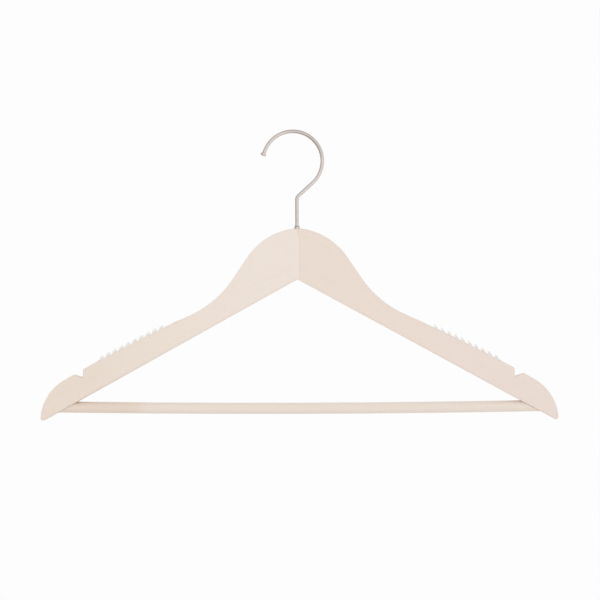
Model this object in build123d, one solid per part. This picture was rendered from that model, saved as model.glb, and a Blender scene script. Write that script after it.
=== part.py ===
# Wooden clothes hanger with a trouser bar, strap notches, soft shoulder strips and a hook that swivels.
# Millimetres. X runs along the shoulders, Y through the thickness and Z up; the front faces -Y.
# The origin is where a rail bears inside the hook, straight above the stem that the hanger turns on.
from math import acos, atan2, cos, degrees, radians, sin, sqrt, tan
import os

from build123d import *

# Overall sizes
hanger_width = 444.5
arm_thickness = 12.0
rail_to_wood = 81.97
edge_rounding = 1.8
cut_overrun = 5.0

# Arm outline, followed from the seam outwards
head_depth = 43.43
underside_angle = 28.8
crown_flat_length = 4.2
crown_radius = 57.0
crown_start_angle = 8.55
flank_angle = 55.8
flank_length = 22.8
neck_radius = 87.0
shoulder_start_angle = 23.8
shoulder_radius = 1120.0
nose_radius = 41.0
tip_rounding = 2.2

# Strap notch
notch_from_tip = 37.1
notch_depth = 7.4
notch_floor_angle = 18.0
notch_root_rounding = 0.8
notch_corner_rounding = 2.0

# Comb joint that holds the two arms together
comb_layers = 5
comb_length = 14.0
comb_end_gap = 0.2

# Trouser bar and its blind sockets
bar_diameter = 9.6
bar_end_to_tip = 12.7
bar_above_tip = 13.1
bar_bow = 1.8
bar_straight_end = 22.0
bar_end_chamfer = 0.8
socket_clearance = 0.1
socket_end_gap = 0.6

# Soft strips let into the shoulders, each held by a key in a slot
strip_width = 9.0
strip_thickness = 0.7
strip_recess = 0.9
strip_end_gap = 0.3
left_strip_to_notch = 15.5
right_strip_to_notch = 14.7
left_strip_tail = 4.7
right_strip_tail = 11.3
key_width = 2.0
key_depth = 2.2
key_end_inset = 3.0
slot_clearance = 0.05

# Fins on a strip
fin_count = 10
fin_pitch = 6.44
fin_end_margin = 0.7
fin_foot = 2.5
fin_reach = 4.1
fin_height = 2.4
fin_tip_thickness = 0.8
fin_back_bulge = 0.9
fin_belly_bulge = 0.3

# Hook
wire_diameter = 3.2
hook_inside_radius = 23.9
hook_offset = 3.5
hook_tip_angle = 157.0
hook_throat_angle = 48.0
hook_tip_straight = 5.7
neck_bend_radius = 5.0

# Cap on the hook's tip
cap_diameter = 4.8
cap_length = 2.7
cap_end_wall = 0.8
cap_rounding = 0.9
cap_clearance = 0.02

# Sleeve that the hook turns in
sleeve_length = 20.0
sleeve_clearance = 0.06
sleeve_wall = 0.34
barb_count = 3
barb_height = 0.15
barb_length = 2.4
barb_spacing = 5.0
collar_diameter = 5.0
collar_ring_height = 2.2
collar_cone_diameter = 4.0
collar_cone_height = 1.0
collar_lip = 0.15
collar_rounding = 0.45
collar_seat_depth = 0.3
collar_seat_clearance = 0.2

# Head that keeps the hook in the sleeve
head_diameter = 4.1
head_length = 1.2
head_play = 0.3
bore_end_gap = 1.5

# Radii and heights that follow
half_width = hanger_width / 2
wire_radius = wire_diameter / 2
sleeve_bore_radius = wire_radius + sleeve_clearance
sleeve_tube_radius = sleeve_bore_radius + sleeve_wall
wood_bore_radius = sleeve_tube_radius + barb_height
wood_top = -rail_to_wood
collar_bottom = wood_top - collar_seat_depth
sleeve_bottom = collar_bottom - sleeve_length
head_top = sleeve_bottom - head_play
stem_bottom = head_top - head_length
bore_bottom = stem_bottom - bore_end_gap
right_angle = 90


def heading(angle):
    return Vector(cos(radians(angle)), sin(radians(angle)))


def outline_face(edges):
    return Plane.XZ * make_face(Wire(edges))


def polygon_face(*points):
    return Plane.XZ * make_face(Polyline(*points, close=True))


def slab(face, width):
    return extrude(face, amount=width / 2, both=True)


# The top of an arm has a small flat for the collar and runs on from crown to flank, neck and shoulder.
seam_top = Vector(0, wood_top)
crown_flat = Line(seam_top, seam_top + Vector(crown_flat_length, 0))
crown = JernArc(crown_flat @ 1, heading(-crown_start_angle), crown_radius, crown_start_angle - flank_angle)
flank = Line(crown @ 1, crown @ 1 + heading(-flank_angle) * flank_length)
neck = JernArc(flank @ 1, heading(-flank_angle), neck_radius, flank_angle - shoulder_start_angle)
shoulder_centre = neck @ 1 - heading(right_angle - shoulder_start_angle) * shoulder_radius

# The nose arc touches the shoulder arc from inside and reaches the full half width.
centre_distance = shoulder_radius - nose_radius
nose_centre_x = half_width - nose_radius
nose_centre_rise = sqrt(centre_distance**2 - (nose_centre_x - shoulder_centre.X) ** 2)
nose_centre = Vector(nose_centre_x, shoulder_centre.Y + nose_centre_rise)
nose_start = shoulder_centre + (nose_centre - shoulder_centre).normalized() * shoulder_radius

# The straight underside leaves the seam at the apex and meets the nose arc at the tip.
apex = seam_top - Vector(0, head_depth)
underside_heading = heading(-underside_angle)
nearest_to_centre = apex + underside_heading * (nose_centre - apex).dot(underside_heading)
half_chord = sqrt(nose_radius**2 - (nose_centre - nearest_to_centre).length ** 2)
arm_tip = nearest_to_centre + underside_heading * half_chord
bar_end = arm_tip + Vector(-bar_end_to_tip, bar_above_tip)


# A place on a shoulder is an angle about the shoulder arc's centre and a height over the wood.
def shoulder_place(angle, height):
    return shoulder_centre + heading(angle) * (shoulder_radius + height)


def shoulder_turn(distance):
    return degrees(distance / shoulder_radius)


notch_wall_x = half_width - notch_from_tip
notch_angle = degrees(acos((notch_wall_x - shoulder_centre.X) / shoulder_radius))
fin_row_length = fin_pitch * (fin_count - 1)


# A band follows the shoulder between two angles, from one height to another.
def shoulder_band(outer_angle, inner_angle, low, high):
    middle_angle = (outer_angle + inner_angle) / 2
    lower = ThreePointArc(*[shoulder_place(a, low) for a in (outer_angle, middle_angle, inner_angle)])
    upper = ThreePointArc(*[shoulder_place(a, high) for a in (inner_angle, middle_angle, outer_angle)])
    return outline_face([lower, Line(lower @ 1, upper @ 0), upper, Line(upper @ 1, lower @ 0)])


def arm_blank():
    shoulder = TangentArc(neck @ 1, nose_start, tangent=heading(-shoulder_start_angle))
    nose = TangentArc(nose_start, arm_tip, tangent=shoulder % 1)
    underside = Line(arm_tip, apex)
    joint_line = Line(apex, seam_top)
    face = outline_face([crown_flat, crown, flank, neck, shoulder, nose, underside, joint_line])
    face = fillet(face.vertices().sort_by(Axis.X)[-1], tip_rounding)
    blank = slab(face, arm_thickness)
    front_edges = blank.faces().sort_by(Axis.Y)[0].edges().sort_by(Axis.X)[1:]
    back_edges = blank.faces().sort_by(Axis.Y)[-1].edges().sort_by(Axis.X)[1:]
    return fillet(front_edges + back_edges, edge_rounding)


# The notch has an upright wall towards the seam and a floor that rises outwards.
# The rounding of its upper corners runs on smoothly round its front and back rims.
def cut_notch(blank):
    root = shoulder_place(notch_angle, 0) - Vector(0, notch_depth)
    reach = 2 * notch_depth
    wall_end = root + Vector(0, reach)
    floor_end = root + heading(notch_floor_angle) * reach
    face = polygon_face(root, floor_end, floor_end + Vector(0, reach), wall_end)
    root_corner = face.vertices().group_by(Axis.X)[0].sort_by(Axis.Z)[0]
    notched = blank - slab(fillet(root_corner, notch_root_rounding), arm_thickness + 2 * cut_overrun)
    cross_edges = notched.edges().filter_by(Axis.Y)
    near_notch = cross_edges.filter_by_position(Axis.X, root.X - cut_overrun, floor_end.X)
    upper_corners = near_notch.sort_by(Axis.Z)[-2:]
    return fillet(upper_corners, notch_corner_rounding)


# The comb's tongues fill every second layer of the thickness; the outer layers meet at the seam.
def comb_slabs(length):
    layer = arm_thickness / comb_layers
    height = 2 * (head_depth + cut_overrun)
    slabs = [
        Pos(0, (index - comb_layers / 2 + 1 / 2) * layer, wood_top - head_depth / 2)
        * Box(length, layer, height, align=(Align.MIN, Align.CENTER, Align.CENTER))
        for index in range(1, comb_layers, 2)
    ]
    return Part() + slabs


# The bar sags a little between its straight ends, and its sockets follow the same line.
def bar_solid(diameter, extra_length):
    end_tilt = degrees(atan2(2 * bar_bow, bar_end.X + bar_straight_end))
    sag_radius = (bar_end.X - bar_straight_end * cos(radians(end_tilt))) / sin(radians(end_tilt))
    end_length = bar_straight_end + extra_length
    start = Vector(-bar_end.X, bar_end.Y) - heading(-end_tilt) * extra_length
    left_end = Line(start, start + heading(-end_tilt) * end_length)
    sag = JernArc(left_end @ 1, heading(-end_tilt), sag_radius, 2 * end_tilt)
    right_end = Line(sag @ 1, sag @ 1 + heading(end_tilt) * end_length)
    path = Plane.XZ * Wire([left_end, sag, right_end])
    return sweep((path ^ 0) * Circle(diameter / 2), path=path)


def trouser_bar():
    bar = bar_solid(bar_diameter, 0)
    ends = bar.faces().sort_by(Axis.X)
    return chamfer(ends[0].edges() + ends[-1].edges(), bar_end_chamfer)


# A strip's two ends, as angles: the outer one near the notch and the inner one towards the neck
def strip_ends(to_notch, tail):
    outer_angle = notch_angle + shoulder_turn(to_notch)
    return outer_angle, outer_angle + shoulder_turn(fin_end_margin + fin_row_length + tail)


def strip_cutter(to_notch, tail):
    outer_angle, inner_angle = strip_ends(to_notch - strip_end_gap, tail + 2 * strip_end_gap)
    key_turn = shoulder_turn(key_end_inset)
    floor = -strip_recess
    recess = shoulder_band(outer_angle, inner_angle, floor, cut_overrun)
    slot_floor = floor - key_depth - slot_clearance
    slot = shoulder_band(outer_angle + key_turn, inner_angle - key_turn, slot_floor, 0)
    return slab(recess, arm_thickness + 2 * cut_overrun) + slab(slot, key_width + 2 * slot_clearance)


# A fin rises from a broad foot, leans towards the seam and ends in a blunt tip over the strip.
def fin_face(angle):
    foot = Vector(0, 0)
    inner_foot = Vector(-fin_foot, 0)
    sunk = Vector(0, strip_thickness / 2)
    tip = Vector(-fin_reach, fin_height)
    under_tip = tip - Vector(0, fin_tip_thickness)
    back = SagittaArc(foot, tip, -fin_back_bulge)
    belly = SagittaArc(under_tip, inner_foot, fin_belly_bulge)
    root = Polyline(inner_foot, inner_foot - sunk, foot - sunk, foot)
    face = make_face(Wire([back, Line(tip, under_tip), belly, *root.edges()]))
    place = shoulder_place(angle, strip_thickness - strip_recess)
    return Plane.XZ * Pos(place.X, place.Y) * Rot(0, 0, angle - right_angle) * face


def grip_strip(to_notch, tail):
    outer_angle, inner_angle = strip_ends(to_notch, tail)
    key_turn = shoulder_turn(key_end_inset + strip_end_gap)
    floor = -strip_recess
    base = shoulder_band(outer_angle, inner_angle, floor, floor + strip_thickness)
    key = shoulder_band(outer_angle + key_turn, inner_angle - key_turn, floor - key_depth, floor)
    fin_places = [fin_end_margin + fin_pitch * index for index in range(fin_count)]
    fins = [fin_face(outer_angle + shoulder_turn(fin_place)) for fin_place in fin_places]
    return slab(base, strip_width) + [slab(fin, strip_width) for fin in fins] + slab(key, key_width)


def sleeve_bore():
    radius = wood_bore_radius
    depth = wood_top - bore_bottom
    low = (Align.CENTER, Align.CENTER, Align.MIN)
    bore = Pos(0, 0, bore_bottom) * Cylinder(radius, depth + cut_overrun, align=low)
    seat_radius = collar_diameter / 2 + collar_seat_clearance
    return bore + Pos(0, 0, collar_bottom) * Cylinder(seat_radius, cut_overrun, align=low)


def make_arms():
    blank = cut_notch(arm_blank())
    sockets = bar_solid(bar_diameter + 2 * socket_clearance, socket_end_gap)
    bore = sleeve_bore()
    tongues = blank & comb_slabs(comb_length - comb_end_gap)
    right_cut = strip_cutter(right_strip_to_notch, right_strip_tail)
    left_cut = strip_cutter(left_strip_to_notch, left_strip_tail)
    right_arm = blank - comb_slabs(comb_length) - right_cut - sockets - bore
    left_blank = mirror(blank - left_cut, about=Plane.YZ)
    left_arm = left_blank + tongues - sockets - bore
    return left_arm, right_arm


# The hook is one wire: a short straight tip, the round hook, a slanted neck and the upright stem.
hook_radius = hook_inside_radius + wire_radius
hook_centre = Vector(-hook_offset, -sqrt(hook_inside_radius**2 - hook_offset**2))
tip_heading = heading(hook_tip_angle - right_angle)
hook_tip_end = hook_centre + heading(hook_tip_angle) * hook_radius - tip_heading * hook_tip_straight
wire_start = hook_tip_end + tip_heading * cap_end_wall


def hook_path():
    straight = Line(wire_start, wire_start + tip_heading * (hook_tip_straight - cap_end_wall))
    round_part = JernArc(straight @ 1, tip_heading, hook_radius, -hook_tip_angle - hook_throat_angle)
    throat = round_part @ 1
    neck_heading = round_part % 1
    to_axis = -throat.X / neck_heading.X
    bend_start_distance = to_axis - neck_bend_radius * tan(radians(hook_throat_angle / 2))
    slant = Line(throat, throat + neck_heading * bend_start_distance)
    bend = JernArc(slant @ 1, neck_heading, neck_bend_radius, hook_throat_angle)
    stem = Line(bend @ 1, Vector(0, stem_bottom))
    return Plane.XZ * Wire([straight, round_part, slant, bend, stem])


def hook_wire():
    path = hook_path()
    wire = sweep((path ^ 0) * Circle(wire_radius), path=path)
    low = (Align.CENTER, Align.CENTER, Align.MIN)
    return wire + Pos(0, 0, stem_bottom) * Cylinder(head_diameter / 2, head_length, align=low)


def hook_tip_cap():
    low = (Align.CENTER, Align.CENTER, Align.MIN)
    body = Cylinder(cap_diameter / 2, cap_length, align=low)
    body = fillet(body.edges().filter_by(GeomType.CIRCLE), cap_rounding)
    body -= Pos(0, 0, cap_end_wall) * Cylinder(wire_radius + cap_clearance, cap_length, align=low)
    seat = Plane(
        origin=(hook_tip_end.X, 0, hook_tip_end.Y),
        z_dir=(tip_heading.X, 0, tip_heading.Y),
    )
    return seat * body


def hook_sleeve():
    ring_top = collar_bottom + collar_ring_height
    collar_top = ring_top + collar_cone_height
    collar_radius = collar_diameter / 2
    barbs = []
    for index in range(barb_count):
        step = collar_bottom - barb_spacing * (index + 1)
        barbs.append((sleeve_tube_radius, step))
        barbs.append((wood_bore_radius, step))
        barbs.append((sleeve_tube_radius, step - barb_length))
    profile = polygon_face(
        (sleeve_bore_radius, sleeve_bottom),
        (sleeve_bore_radius, collar_top),
        (sleeve_bore_radius + collar_lip, collar_top),
        (collar_cone_diameter / 2, ring_top),
        (collar_radius, ring_top),
        (collar_radius, collar_bottom),
        (sleeve_tube_radius, collar_bottom),
        *barbs,
        (sleeve_tube_radius, sleeve_bottom),
    )
    profile = fillet(profile.vertices().group_by(Axis.X)[-1], collar_rounding)
    return revolve(profile, Axis.Z)


left_arm, right_arm = make_arms()
pieces = {
    "left_arm": left_arm,
    "right_arm": right_arm,
    "trouser_bar": trouser_bar(),
    "left_grip_strip": mirror(grip_strip(left_strip_to_notch, left_strip_tail), about=Plane.YZ),
    "right_grip_strip": grip_strip(right_strip_to_notch, right_strip_tail),
    "hook_wire": hook_wire(),
    "hook_tip_cap": hook_tip_cap(),
    "hook_sleeve": hook_sleeve(),
}
os.makedirs("parts", exist_ok=True)
for name, piece in pieces.items():
    export_step(piece, f"parts/{name}.step")
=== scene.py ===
from math import cos, radians, sin

import bmesh
import bpy
from mathutils import Matrix, Vector


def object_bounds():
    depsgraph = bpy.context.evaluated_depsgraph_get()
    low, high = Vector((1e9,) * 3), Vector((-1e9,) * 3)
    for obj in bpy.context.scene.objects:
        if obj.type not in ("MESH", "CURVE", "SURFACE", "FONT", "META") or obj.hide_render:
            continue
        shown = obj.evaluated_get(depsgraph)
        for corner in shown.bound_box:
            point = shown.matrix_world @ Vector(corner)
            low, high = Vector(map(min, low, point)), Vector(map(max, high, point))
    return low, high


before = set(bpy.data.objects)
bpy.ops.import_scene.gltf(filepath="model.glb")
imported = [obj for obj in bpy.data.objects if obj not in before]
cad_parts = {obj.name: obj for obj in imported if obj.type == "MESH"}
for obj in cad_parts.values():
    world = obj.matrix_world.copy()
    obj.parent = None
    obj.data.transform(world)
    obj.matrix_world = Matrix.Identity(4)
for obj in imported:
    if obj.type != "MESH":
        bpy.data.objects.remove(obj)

cadLow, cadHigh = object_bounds()
middle = (cadLow + cadHigh) / 2
print("frame loaded,", len(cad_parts), "nodes")


# One output of a shader node. Arithmetic on it adds Math nodes.
class Flow:
    def __init__(self, graph, socket):
        self.graph = graph
        self.socket = socket

    def maths(self, operation, *values):
        return self.graph.node("ShaderNodeMath", {"operation": operation}, dict(enumerate(values)))

    def __add__(self, other):
        return self.maths("ADD", self, other)

    def __sub__(self, other):
        return self.maths("SUBTRACT", self, other)

    def __rsub__(self, other):
        return self.maths("SUBTRACT", other, self)

    def __mul__(self, other):
        return self.maths("MULTIPLY", self, other)

    def __truediv__(self, other):
        return self.maths("DIVIDE", self, other)

    def __pow__(self, other):
        return self.maths("POWER", self, other)

    __radd__ = __add__
    __rmul__ = __mul__

    def size(self):
        return self.maths("ABSOLUTE", self)

    def root(self):
        return self.maths("SQRT", self)

    def wrap(self):
        return self.maths("FRACT", self)

    def larger(self, other):
        return self.maths("MAXIMUM", self, other)

    # 0 up to low, 1 from high on, and smooth between
    def step(self, low, high):
        sockets = {"Value": self, "From Min": low, "From Max": high}
        return self.graph.node("ShaderNodeMapRange", {"interpolation_type": "SMOOTHSTEP"}, sockets)


# The node tree of a material or of the world
class Graph:
    def __init__(self, owner):
        owner.use_nodes = True
        self.owner = owner
        self.tree = owner.node_tree
        self.tree.nodes.clear()

    # Any node: its type, its settings, its sockets' values or links, and the output wanted
    def node(self, kind, settings, sockets, output=0):
        made = self.tree.nodes.new(kind)
        stops = settings.pop("stops", [])
        for name, value in settings.items():
            setattr(made, name, value)
        for index, (position, colour) in enumerate(stops):
            ramp = made.color_ramp.elements
            stop = ramp[index] if index < 2 else ramp.new(position)
            stop.position = position
            stop.color = colour
        for name, value in sockets.items():
            self.feed(made, name, value)
        shown = [socket for socket in made.outputs if socket.enabled]
        if not shown:
            return made
        if isinstance(output, str):
            shown, output = [socket for socket in shown if socket.name == output], 0
        return Flow(self, shown[output])

    def feed(self, made, name, value):
        if isinstance(name, int):
            socket = made.inputs[name]
        else:
            socket = next(one for one in made.inputs if one.enabled and one.name == name)
        if isinstance(value, Flow):
            self.tree.links.new(value.socket, socket)
        else:
            socket.default_value = value

    def mix(self, factor, first, second, blend="MIX"):
        settings = {"data_type": "RGBA", "blend_type": blend}
        return self.node("ShaderNodeMix", settings, {"Factor": factor, "A": first, "B": second})

    def noise(self, place, scale, detail=2.0, distortion=0.0):
        sockets = {"Vector": place, "Scale": scale, "Detail": detail, "Distortion": distortion}
        return self.node("ShaderNodeTexNoise", {}, sockets)

    def join(self, x, y, z):
        return self.node("ShaderNodeCombineXYZ", {}, {"X": x, "Y": y, "Z": z})


def newMaterial(name):
    return Graph(bpy.data.materials.new(name))


def closeWith(graph, settings, bumps=()):
    normal = None
    for height, distance, strength in bumps:
        sockets = {"Height": height, "Distance": distance, "Strength": strength}
        if normal:
            sockets["Normal"] = normal
        normal = graph.node("ShaderNodeBump", {}, sockets)
    if normal:
        settings["Normal"] = normal
    shader = graph.node("ShaderNodeBsdfPrincipled", {}, settings)
    graph.node("ShaderNodeOutputMaterial", {}, {"Surface": shader})
    return graph.owner


def dress(node, material):
    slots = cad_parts[node].material_slots
    for slot in slots:
        slot.material = material
    if not slots:
        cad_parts[node].data.materials.append(material)


def rgb(red, green, blue):
    def toLinear(value):
        value /= 255
        return value / 12.92 if value <= 0.04045 else ((value + 0.055) / 1.055) ** 2.4
    return toLinear(red), toLinear(green), toLinear(blue), 1.0


# Wood of both arms: pale, close-grained and matt. Each side is toned from the seam out to the nose.
armWood = {
    "leftTones": (rgb(236, 224, 214), rgb(231, 217, 204)),
    "rightTones": (rgb(233, 218, 206), rgb(233, 218, 209)),
    "toneReach": (0.02, 0.2),
    "grainAngle": 29.0,
    "pith": (-0.095, 0.033),
    "ringSpacing": 0.0026,
    "ringDepth": 0.10,
    "fleckDepth": 0.16,
    "fibreDepth": 0.08,
    "roughness": 0.56,
    "specular": 0.35,
    "coat": 0.08,
    "coatRoughness": 0.3,
}

# The glue line, darkened with painted shade of the joint's slight step, and the change of tone lie a little
# to the right of the joint, and further to the right from a little way down. From there down a painted
# highlight runs just left of the line, on the step's raised edge.
seam = {
    "tone": rgb(206, 190, 176),
    "depth": 0.5,
    "lowDepth": 0.35,
    "halfWidth": 0.0007,
    "places": (0.0011, 0.0020),
    "stepFrom": -0.0905,
    "stepTo": -0.0865,
    "toneStep": 0.0004,
    "highlightTone": rgb(243, 233, 224),
    "highlightDepth": 0.4,
    "highlightWidth": 0.0007,
    "highlightOffset": -0.0017,
    "bump": (0.00003, 0.3),
}

barWood = {
    "tone": rgb(232, 219, 208),
    "leftTone": rgb(227, 211, 197),
    "leftFrom": -0.125,
    "leftTo": -0.145,
    "pith": (-0.29, 0.02),
    "ringSpacing": 0.0022,
    "ringDepth": 0.12,
    "fleckDepth": 0.18,
    "fibreDepth": 0.10,
    "roughness": 0.5,
    "specular": 0.35,
    "coat": 0.1,
    "coatRoughness": 0.28,
}

# The bar has painted shade where it enters the arms: a thin painted contact shadow along the join, and
# painted shade for a short way along its top from there, where the arms keep light off it.
# Both follow the arms' underside, which slopes down from its apex. Depths are given as left, right.
barEntryShade = {
    "tone": rgb(146, 108, 78),
    "apex": -0.1254,
    "slope": 0.5498,
    "middleReach": 0.01,
    "lineWidth": 0.0005,
    "lineDepths": (0.5, 0.8),
    "shadeLength": 0.010,
    "shadeDepth": 0.08,
    "shadeFrom": -0.2335,
    "shadeTo": -0.2308,
}


def objectPlace(graph):
    return graph.node("ShaderNodeTexCoord", {}, {}, "Object")


def coordinates(graph, place):
    return [graph.node("ShaderNodeSeparateXYZ", {}, {"Vector": place}, axis) for axis in "XYZ"]


# What both kinds of wood share. Each noise has its scale along the grain, through the board and across it.
grain = {
    "drift": (5, 30, 30),
    "driftReach": 0.006,
    "ringSharpness": 3,
    "fibre": (30, 1400, 1400),
    "fibreDetail": 3.0,
    "fibreRoughness": 0.18,
    "fleck": (220, 1900, 1900),
    "fleckFrom": 0.62,
    "fleckTo": 0.72,
    "fleckRoughness": 0.06,
    "fleckDent": 0.5,
    "patch": (12, 40, 60),
    "patchDetail": 2.0,
    "patchDepth": 0.2,
    "deepTint": (0.86, 0.80, 0.74, 1.0),
    "fibreBump": (0.00004, 0.3),
    "ringBump": (0.00003, 0.2),
}
noiseMiddle = 0.5


# Fine wood: growth rings about a pith beside the board, fibres, and short flecks, all along the grain
def woodSurface(graph, along, across, depth, tone, wood):
    def grainNoise(kind, detail):
        alongScale, depthScale, acrossScale = grain[kind]
        place = graph.join(along * alongScale, depth * depthScale, across * acrossScale)
        return graph.noise(place, 1.0, detail)

    drift = grainNoise("drift", 1.0)
    pithAcross, pithDepth = wood["pith"]
    distance = ((across - pithAcross) ** 2 + (depth - pithDepth) ** 2).root()
    fromPith = distance + (drift - noiseMiddle) * grain["driftReach"]
    ring = (fromPith / wood["ringSpacing"]).wrap() ** grain["ringSharpness"]
    fibre = grainNoise("fibre", grain["fibreDetail"])
    fleck = grainNoise("fleck", 0.0).step(grain["fleckFrom"], grain["fleckTo"])
    patch = grainNoise("patch", grain["patchDetail"])
    unevenFibre = fibre - noiseMiddle
    shade = ring * wood["ringDepth"] + fleck * wood["fleckDepth"] + unevenFibre * wood["fibreDepth"]
    deep = graph.mix(1.0, tone, grain["deepTint"], "MULTIPLY")
    colour = graph.mix((shade + (patch - noiseMiddle) * grain["patchDepth"]).step(0.0, 1.0), tone, deep)
    roughness = wood["roughness"] + unevenFibre * grain["fibreRoughness"] + fleck * grain["fleckRoughness"]
    bumps = [(fibre - fleck * grain["fleckDent"], *grain["fibreBump"]), (ring, *grain["ringBump"])]
    return colour, roughness, bumps


def closeWood(graph, colour, roughness, bumps, wood):
    settings = {
        "Base Color": colour,
        "Roughness": roughness,
        "Specular IOR Level": wood["specular"],
        "Coat Weight": wood["coat"],
        "Coat Roughness": wood["coatRoughness"],
    }
    return closeWith(graph, settings, bumps)


def armFinish(name, side):
    wood = armWood
    graph = newMaterial(name)
    x, y, z = coordinates(graph, objectPlace(graph))
    turn = radians(wood["grainAngle"])
    outward = x * side
    along = outward * cos(turn) - z * sin(turn)
    across = outward * sin(turn) + z * cos(turn)
    upper, lower = seam["places"]
    top = z.step(seam["stepFrom"], seam["stepTo"])
    fromLine = x - lower + top * (lower - upper)
    leftTone = graph.mix((x * -1).step(*wood["toneReach"]), *wood["leftTones"])
    rightTone = graph.mix(x.step(*wood["toneReach"]), *wood["rightTones"])
    tone = graph.mix(fromLine.step(-seam["toneStep"], seam["toneStep"]), leftTone, rightTone)
    colour, roughness, bumps = woodSurface(graph, along, across, y, tone, wood)
    # Painted highlight just left of the glue line, from a little way down, on the raised edge of the joint's
    # step
    pale = (1 - (fromLine - seam["highlightOffset"]).size().step(0.0, seam["highlightWidth"])) * (1 - top)
    colour = graph.mix(pale * seam["highlightDepth"], colour, seam["highlightTone"])
    # Glue line, darkened with painted shade of the joint's step
    line = 1 - fromLine.size().step(0.0, seam["halfWidth"])
    depth = line * (seam["lowDepth"] + top * (1 - seam["lowDepth"])) * seam["depth"]
    colour = graph.mix(depth, colour, seam["tone"])
    bumps.append((1 - line, *seam["bump"]))
    return closeWood(graph, colour, roughness, bumps, wood)


def barFinish():
    graph = newMaterial("barWood")
    x, y, z = coordinates(graph, objectPlace(graph))
    isLeft = (x * -1).step(-barWood["leftFrom"], -barWood["leftTo"])
    tone = graph.mix(isLeft, barWood["tone"], barWood["leftTone"])
    colour, roughness, bumps = woodSurface(graph, x, z, y, tone, barWood)
    # Painted contact shadow in a thin line where the bar enters the arms, and painted shade along its top
    # near each corner
    below = (barEntryShade["apex"] - x.size() * barEntryShade["slope"]) - z
    leftDepth, rightDepth = barEntryShade["lineDepths"]
    isRight = x.step(-barEntryShade["middleReach"], barEntryShade["middleReach"])
    lineDepth = leftDepth + isRight * (rightDepth - leftDepth)
    line = (1 - below.step(0.0, barEntryShade["lineWidth"])) * lineDepth
    cornerX = (barEntryShade["apex"] - barEntryShade["shadeTo"]) / barEntryShade["slope"]
    nearCorner = x.size().step(cornerX - barEntryShade["shadeLength"], cornerX)
    shade = nearCorner * z.step(barEntryShade["shadeFrom"], barEntryShade["shadeTo"]) * barEntryShade["shadeDepth"]
    colour = graph.mix(line.larger(shade), colour, barEntryShade["tone"])
    return closeWood(graph, colour, roughness, bumps, barWood)


dress("left_arm", armFinish("leftWood", -1))
dress("right_arm", armFinish("rightWood", 1))
dress("trouser_bar", barFinish())
print("wood done")

# Satin nickel: plated steel, with fine drawing lines that follow the wire round
nickel = {
    "tone": rgb(210, 203, 199),
    "bright": rgb(217, 211, 207),
    "roughness": 0.3,
    "hookCentre": (-0.0035, -0.02364),
    "roundBelow": -0.052,
    "roundAbove": -0.046,
    "lineScale": 7000.0,
    "lineLength": 60,
    "lineRoughness": 0.1,
    "lineBump": (0.000004, 0.3),
    "cloudScale": 180.0,
    "cloudFrom": 0.3,
    "cloudTo": 0.8,
    "cloudDepth": 0.5,
    "cloudRoughness": 0.08,
    "noiseDetail": 2.0,
    "railPlace": 0.006,
    "railRub": 0.15,
    "railPolish": 0.06,
    "paintedShadeTone": rgb(178, 168, 160),
    "paintedShadeDepth": 0.5,
    "paintedShadeHeading": 55.0,
    "paintedShadeFrom": 0.0135,
    "paintedShadeTo": 0.0235,
    "shadeLineTone": rgb(118, 104, 96),
}

# Heights on the collar with painted shade: a painted shadow where it meets the wood, and painted shade above
# its ring.
# Each is height, reach, depth.
collarShadeLines = [(-0.0823, 0.0009, 0.9), (-0.0799, 0.0006, 0.7)]


def nickelFinish(name, isWire=False, shadeLines=()):
    graph = newMaterial(name)
    place = objectPlace(graph)
    x, y, z = coordinates(graph, place)
    across = x
    if isWire:
        centreX, centreZ = nickel["hookCentre"]
        fromCentre = ((x - centreX) ** 2 + (z - centreZ) ** 2).root()
        isRound = z.step(nickel["roundBelow"], nickel["roundAbove"])
        across = x + isRound * (fromCentre - x)
    drawn = graph.join(across * nickel["lineScale"], y * nickel["lineScale"], z * nickel["lineLength"])
    lines = graph.noise(drawn, 1.0, nickel["noiseDetail"])
    clouds = graph.noise(place, nickel["cloudScale"], nickel["noiseDetail"])
    cloudy = clouds.step(nickel["cloudFrom"], nickel["cloudTo"]) * nickel["cloudDepth"]
    colour = graph.mix(cloudy, nickel["tone"], nickel["bright"])
    roughness = nickel["roughness"] + (lines - noiseMiddle) * nickel["lineRoughness"]
    roughness = roughness + (clouds - noiseMiddle) * nickel["cloudRoughness"]
    if isWire:
        # Painted shade over the wire's upper right, standing in for darker reflections there
        heading = radians(nickel["paintedShadeHeading"])
        towards = (x - centreX) * cos(heading) + (z - centreZ) * sin(heading)
        dull = towards.step(nickel["paintedShadeFrom"], nickel["paintedShadeTo"]) * nickel["paintedShadeDepth"]
        colour = graph.mix(dull, colour, nickel["paintedShadeTone"])
        rub = z.step(-nickel["railPlace"], 0.0)
        colour = graph.mix(rub * nickel["railRub"], colour, nickel["bright"])
        roughness = roughness - rub * nickel["railPolish"]
    # Painted shade in bands round the collar at the given heights
    for height, reach, depth in shadeLines:
        shadeLine = 1 - (z - height).size().step(0.0, reach)
        colour = graph.mix(shadeLine * depth, colour, nickel["shadeLineTone"])
    settings = {"Base Color": colour, "Metallic": 1.0, "Roughness": roughness}
    return closeWith(graph, settings, [(lines, *nickel["lineBump"])])


dress("hook_wire", nickelFinish("wireNickel", isWire=True))
dress("hook_tip_cap", nickelFinish("capNickel"))
dress("hook_sleeve", nickelFinish("sleeveNickel", shadeLines=collarShadeLines))
print("metal done")

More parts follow.
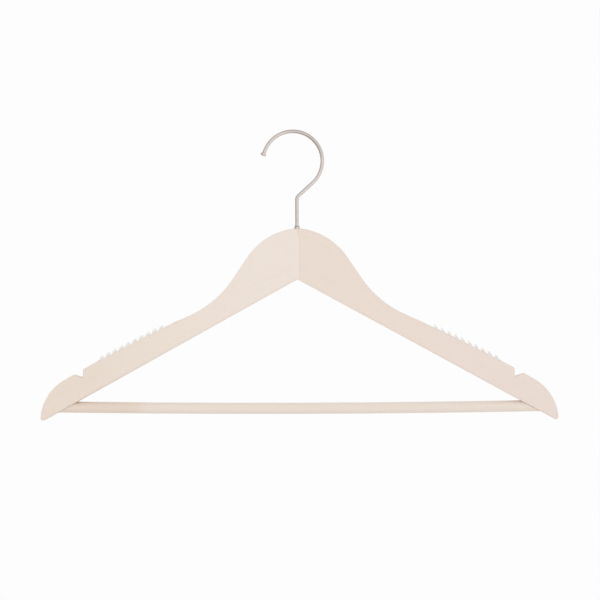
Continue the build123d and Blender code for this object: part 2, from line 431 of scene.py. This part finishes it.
# Clear soft plastic of the shoulder strips, a little grey and hazy, and clearer towards the tips of the fins.
# Its underside is glued to the wood and isn't seen through.
strip = {
    "tone": rgb(229, 220, 210),
    "dull": rgb(218, 208, 197),
    "glued": rgb(234, 221, 209),
    "gluedTo": -0.00085,
    "gluedFrom": -0.00065,
    "opacity": 0.37,
    "sideClearer": 0.10,
    "clearer": 0.13,
    "clearFrom": 0.0002,
    "clearTo": 0.0022,
    "shoulderCentre": (-0.35944, -1.18063),
    "shoulderRadius": 1.12,
    "roughness": 0.35,
    "specular": 0.4,
    "hazeScale": 160.0,
    "hazeDetail": 2.0,
    "hazeFrom": 0.35,
    "hazeTo": 0.75,
    "hazeRoughness": 0.2,
    "hazeOpacity": 0.15,
    "rippleScale": 900.0,
    "rippleDetail": 3.0,
    "rippleBump": (0.00003, 0.2),
}


def stripFinish():
    graph = newMaterial("clearStrip")
    place = objectPlace(graph)
    x, y, z = coordinates(graph, place)
    ripple = graph.noise(place, strip["rippleScale"], strip["rippleDetail"])
    haze = graph.noise(place, strip["hazeScale"], strip["hazeDetail"])
    centreX, centreZ = strip["shoulderCentre"]
    height = ((x.size() - centreX) ** 2 + (z - centreZ) ** 2).root() - strip["shoulderRadius"]
    clearer = height.step(strip["clearFrom"], strip["clearTo"]) * strip["clearer"]
    normal = graph.node("ShaderNodeTexCoord", {}, {}, "Normal")
    facing = graph.node("ShaderNodeSeparateXYZ", {}, {"Vector": normal}, "Y").size()
    clearer = clearer + (1 - facing) * strip["sideClearer"]
    glued = 1 - height.step(strip["gluedTo"], strip["gluedFrom"])
    clear = graph.mix(haze.step(strip["hazeFrom"], strip["hazeTo"]), strip["tone"], strip["dull"])
    unevenHaze = haze - noiseMiddle
    opacity = strip["opacity"] - clearer + unevenHaze * strip["hazeOpacity"]
    settings = {
        "Base Color": graph.mix(glued, clear, strip["glued"]),
        "Roughness": strip["roughness"] + unevenHaze * strip["hazeRoughness"],
        "Alpha": opacity.larger(glued),
        "Specular IOR Level": strip["specular"],
    }
    return closeWith(graph, settings, [(ripple, *strip["rippleBump"])])


clearStrip = stripFinish()
for node in ("left_grip_strip", "right_grip_strip"):
    dress(node, clearStrip)
print("strips done")

# Studio: pale floor well below that fades into the background, a white surround, and three soft lamps
studio = {
    "background": 0.982,
    "floorHeight": -0.62,
    "floorRadius": 9.0,
    "floorTone": 0.86,
    "fadeStart": 0.25,
    "fadeEnd": 0.9,
    "surround": 0.93,
    "darkSide": 0.94,
    "towardsRight": 0.4,
    "towardsTop": 0.6,
    "darkTo": -1.0,
    "lightFrom": 0.9,
    "floorSegments": 96,
}


# 1 for the camera and for what metal and clear plastic show, 0 for the light that falls on the object
def isSeen(graph):
    kinds = ("Camera", "Glossy", "Transmission")
    camera, glossy, through = (graph.node("ShaderNodeLightPath", {}, {}, f"Is {kind} Ray") for kind in kinds)
    return camera.larger(glossy).larger(through)


def makeWorld():
    world = bpy.data.worlds.new("studio")
    bpy.context.scene.world = world
    graph = Graph(world)
    level = (studio["background"],) * 3 + (1.0,)
    shown = graph.node("ShaderNodeBackground", {}, {"Color": level, "Strength": 1.0})
    direction = graph.node("ShaderNodeTexCoord", {}, {}, "Generated")
    x = graph.node("ShaderNodeSeparateXYZ", {}, {"Vector": direction}, "X")
    z = graph.node("ShaderNodeSeparateXYZ", {}, {"Vector": direction}, "Z")
    towards = x * studio["towardsRight"] + z * studio["towardsTop"]
    bright = towards.step(studio["darkTo"], studio["lightFrom"])
    lightness = studio["darkSide"] + bright * (1 - studio["darkSide"])
    fill = graph.node(
        "ShaderNodeBackground",
        {},
        {"Color": (1.0, 1.0, 1.0, 1.0), "Strength": lightness * studio["surround"]},
    )
    seen = graph.node("ShaderNodeMixShader", {}, {0: isSeen(graph), 1: fill, 2: shown})
    graph.node("ShaderNodeOutputWorld", {}, {"Surface": seen})


def makeFloor():
    mesh = bpy.data.meshes.new("floor")
    bm = bmesh.new()
    segments, radius = studio["floorSegments"], studio["floorRadius"]
    bmesh.ops.create_circle(bm, cap_ends=True, segments=segments, radius=radius)
    bm.to_mesh(mesh)
    bm.free()
    floor = bpy.data.objects.new("floor", mesh)
    floor.location = (0.0, 0.0, studio["floorHeight"])
    bpy.context.collection.objects.link(floor)
    graph = newMaterial("floorPale")
    tone = (studio["floorTone"],) * 3 + (1.0,)
    place = graph.node("ShaderNodeNewGeometry", {}, {}, "Position")
    flat = graph.node("ShaderNodeVectorMath", {"operation": "MULTIPLY"}, {0: place, 1: (1.0, 1.0, 0.0)})
    distance = graph.node("ShaderNodeVectorMath", {"operation": "LENGTH"}, {0: flat}, "Value")
    lit = graph.node("ShaderNodeBsdfDiffuse", {}, {"Color": tone})
    white = graph.node("ShaderNodeEmission", {}, {"Color": (studio["background"],) * 3 + (1.0,)})
    far = distance.step(studio["fadeStart"], studio["fadeEnd"])
    blend = graph.node("ShaderNodeMixShader", {}, {0: far, 1: lit, 2: white})
    graph.node("ShaderNodeOutputMaterial", {}, {"Surface": blend})
    floor.data.materials.append(graph.owner)


lamps = {
    "key": {"place": (0.5, -1.9, 0.7), "size": (1.6, 1.2), "power": 1.6},
    "fill": {"place": (-1.3, -1.5, 0.1), "size": (1.2, 1.2), "power": 0.7},
    "low": {"place": (0.0, -0.9, -0.57), "size": (1.8, 0.5), "power": 0.9},
}


def makeLamps():
    for name, lamp in lamps.items():
        data = bpy.data.lights.new(name, "AREA")
        data.shape = "RECTANGLE"
        data.size, data.size_y = lamp["size"]
        data.energy = lamp["power"]
        thing = bpy.data.objects.new(name, data)
        thing.location = lamp["place"]
        aim = middle - Vector(lamp["place"])
        thing.rotation_mode = "QUATERNION"
        thing.rotation_quaternion = aim.to_track_quat("-Z", "Y")
        bpy.context.collection.objects.link(thing)


# Warm grey cards that only shiny surfaces show.
# They give the round wire its darker lower left and its greyer top.
cards = {
    "left": {"place": (-0.75, -0.1, -0.25), "size": 2.0, "tone": (0.62, 0.555, 0.525, 1.0)},
    "below": {"place": (-0.24, -0.1, -0.53), "size": 0.75, "tone": (0.52, 0.45, 0.42, 1.0)},
    "above": {"place": (-0.2, -0.1, 0.75), "size": 1.9, "tone": (0.72, 0.68, 0.66, 1.0)},
}


def makeCard(name, card):
    mesh = bpy.data.meshes.new(name)
    bm = bmesh.new()
    bmesh.ops.create_grid(bm, x_segments=1, y_segments=1, size=card["size"] / 2)
    bm.to_mesh(mesh)
    bm.free()
    thing = bpy.data.objects.new(name, mesh)
    thing.location = card["place"]
    thing.rotation_mode = "QUATERNION"
    thing.rotation_quaternion = (Vector() - Vector(card["place"])).to_track_quat("-Z", "Y")
    bpy.context.collection.objects.link(thing)
    for kind in ("camera", "diffuse", "transmission", "volume_scatter", "shadow"):
        setattr(thing, f"visible_{kind}", False)
    graph = newMaterial(f"{name}Grey")
    grey = graph.node("ShaderNodeEmission", {}, {"Color": card["tone"]})
    graph.node("ShaderNodeOutputMaterial", {}, {"Surface": grey})
    mesh.materials.append(graph.owner)


makeWorld()
makeFloor()
makeLamps()
for name, card in cards.items():
    makeCard(f"{name}Card", card)
print("studio done")

# Camera at the photograph's own angle: a little to the right of straight on, with a slight roll
camera = {
    "place": (0.04828, -1.28878, -0.14318),
    "turn": 2.048,
    "roll": -0.31,
    "lens": 90.0,
    "sensor": 36.0,
    "clip": (0.01, 50.0),
}


def makeCamera():
    data = bpy.data.cameras.new("camera")
    data.lens, data.sensor_width = camera["lens"], camera["sensor"]
    data.clip_start, data.clip_end = camera["clip"]
    thing = bpy.data.objects.new("camera", data)
    thing.matrix_world = (
        Matrix.Translation(camera["place"])
        @ Matrix.Rotation(radians(camera["turn"]), 4, "Z")
        @ Matrix.Rotation(radians(90.0), 4, "X")
        @ Matrix.Rotation(radians(camera["roll"]), 4, "Z")
    )
    bpy.context.collection.objects.link(thing)
    bpy.context.scene.camera = thing


makeCamera()
bpy.context.scene.view_settings.view_transform = "Standard"
print("camera done")
